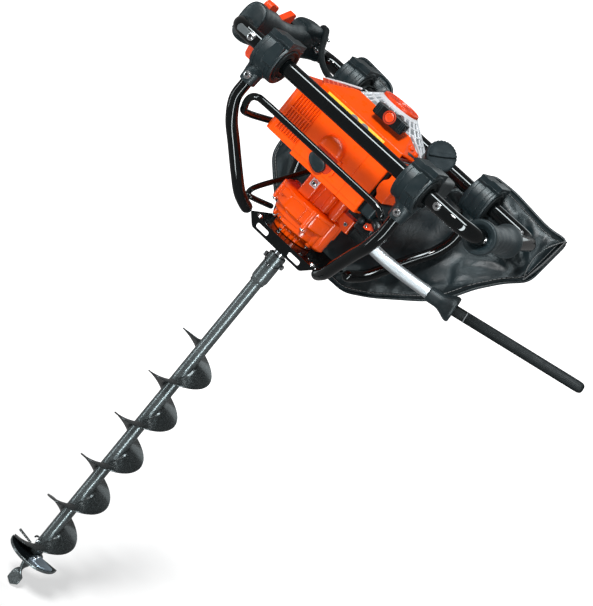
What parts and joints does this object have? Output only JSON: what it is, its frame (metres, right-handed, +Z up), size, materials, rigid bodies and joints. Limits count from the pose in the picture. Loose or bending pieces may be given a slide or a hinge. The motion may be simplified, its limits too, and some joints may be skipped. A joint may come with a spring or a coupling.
{
  "type": "powered ice auger",
  "caption": "One-person petrol ice auger: engine and gearbox in a two-bar handle frame, helical bit, hip cushion and brace arm.",
  "frame": {"origin": "on the auger axis at the height of the handle bars, between the hands", "axes": "+Z up along the auger axis, +X along the handle bars towards the rubber grip and brace arm, -Y towards the front with the pull handle"},
  "size_m": [0.7276, 0.4553, 1.0261],
  "materials": {
    "hammered_grey": "hammertone paint",
    "steel": "bare steel",
    "aluminium": "satin",
    "orange_casting": "orange paint on cast alloy",
    "orange_plastic": "satin moulding",
    "white_plastic": "satin",
    "charcoal_plastic": "fine grain",
    "gloss_black": "gloss black paint",
    "rubber": "matt",
    "leatherette": "creased gloss leatherette"
  },
  "bodies": {
    "frame": {"output_bearing": "steel", "spark_plug": "steel", "muffler": "steel", "engine_block": "aluminium", "piston": "aluminium", "brace_tube": "aluminium", "clutch_housing": "orange_casting", "gear_case": "orange_casting", "gear_cover": "orange_casting", "engine_shroud": "orange_plastic", "front_apron": "orange_plastic", "muffler_cover": "orange_plastic", "filter_cover": "orange_plastic", "starter_cover": "white_plastic", "plug_cover": "charcoal_plastic", "fuel_tank": "charcoal_plastic", "carburettor": "charcoal_plastic", "control_handle": "charcoal_plastic", "front_left_collar": "charcoal_plastic", "front_right_collar": "charcoal_plastic", "rear_left_collar": "charcoal_plastic", "rear_right_collar": "charcoal_plastic", "front_bar": "gloss_black", "rear_bar": "gloss_black", "front_left_leg": "gloss_black", "front_right_leg": "gloss_black", "rear_left_leg": "gloss_black", "rear_right_leg": "gloss_black", "front_guard_rod": "gloss_black", "lower_guard_rod": "gloss_black", "base_plate": "gloss_black", "front_left_rubber": "rubber", "front_right_rubber": "rubber", "rear_left_rubber": "rubber", "rear_right_rubber": "rubber", "right_grip": "rubber", "throttle_cable": "rubber", "brace_grip": "rubber", "hip_cushion": "leatherette"},
    "auger": {"auger_flight": "hammered_grey", "auger_tube": "hammered_grey", "cutter_plate": "hammered_grey", "auger_tip": "hammered_grey", "coupling_sleeve": "hammered_grey", "cutter_blade": "steel", "output_shaft": "steel", "output_gear": "steel"},
    "coupling_pin": {"coupling_pin": "steel"},
    "layshaft": {"layshaft_gear": "steel"},
    "drum": {"clutch_drum": "steel"},
    "crank": {"crankshaft": "steel", "flywheel": "aluminium"},
    "pulley": {"starter_pulley": "charcoal_plastic"},
    "pull_handle": {"pull_handle": "charcoal_plastic"},
    "fuel_cap": {"fuel_cap": "charcoal_plastic"},
    "choke_lever": {"choke_lever": "orange_plastic"},
    "primer_bulb": {"primer_bulb": "rubber"},
    "throttle_trigger": {"throttle_trigger": "orange_plastic"},
    "trigger_lock": {"trigger_lock": "orange_plastic"},
    "stop_slider": {"stop_slider": "orange_plastic"}
  },
  "joints": [
    {"name": "auger_spin", "type": "hinge", "parent": "frame", "child": "auger", "pos_m": [0, 0, -0.3], "axis": [0, 0, -1], "continuous": true},
    {"name": "layshaft_spin", "type": "hinge", "parent": "frame", "child": "layshaft", "pos_m": [-0.03, 0, -0.17], "axis": [0, 0, -1], "continuous": true},
    {"name": "drum_spin", "type": "hinge", "parent": "frame", "child": "drum", "pos_m": [0, 0, -0.13], "axis": [0, 0, -1], "continuous": true},
    {"name": "crank_spin", "type": "hinge", "parent": "frame", "child": "crank", "pos_m": [0, 0, -0.05], "axis": [0, 0, -1], "continuous": true},
    {"name": "coupling_pin_pull", "type": "slide", "parent": "auger", "child": "coupling_pin", "axis": [1, 0, 0], "range_m": [0, 0.04]},
    {"name": "starter_pull", "type": "slide", "parent": "frame", "child": "pull_handle", "axis": [0.1069, -0.9942, -0.0107], "range_m": [0, 0.45], "stiffness_N_per_m": 15, "springref_m": -0.25},
    {"name": "starter_pulley_spin", "type": "hinge", "parent": "frame", "child": "pulley", "pos_m": [0, 0, 0.027], "axis": [0, 0, -1], "range_deg": [0, 1100]},
    {"name": "fuel_cap_turn", "type": "hinge", "parent": "frame", "child": "fuel_cap", "pos_m": [0.119, -0.068, 0.0405], "axis": [0.3478, -0.795, 0.4969], "range_deg": [0, 90]},
    {"name": "choke_tilt", "type": "hinge", "parent": "frame", "child": "choke_lever", "pos_m": [0.098, -0.0625, -0.112], "axis": [0, 1, 0], "range_deg": [0, 40]},
    {"name": "primer_press", "type": "slide", "parent": "frame", "child": "primer_bulb", "axis": [0, 1, 0], "range_m": [0, 0.004], "stiffness_N_per_m": 400, "springref_m": -0.002},
    {"name": "throttle_squeeze", "type": "hinge", "parent": "frame", "child": "throttle_trigger", "pos_m": [-0.2255, -0.019, -0.014], "axis": [-1, 0, 0], "range_deg": [0, 14], "stiffness_Nm_per_rad": 0.6, "springref_deg": -17.19},
    {"name": "lock_press", "type": "hinge", "parent": "frame", "child": "trigger_lock", "pos_m": [-0.2255, -0.049, 0.017], "axis": [-1, 0, 0], "range_deg": [0, 12], "stiffness_Nm_per_rad": 0.4, "springref_deg": -17.19},
    {"name": "stop_slide", "type": "slide", "parent": "frame", "child": "stop_slider", "axis": [0, 1, 0], "range_m": [0, 0.01]}
  ],
  "couplings": [
    {"joint": "layshaft_spin", "follows": "auger_spin", "ratio": -3},
    {"joint": "drum_spin", "follows": "auger_spin", "ratio": 9},
    {"joint": "starter_pulley_spin", "follows": "starter_pull", "rad_per_m": 42.5}
  ]
}
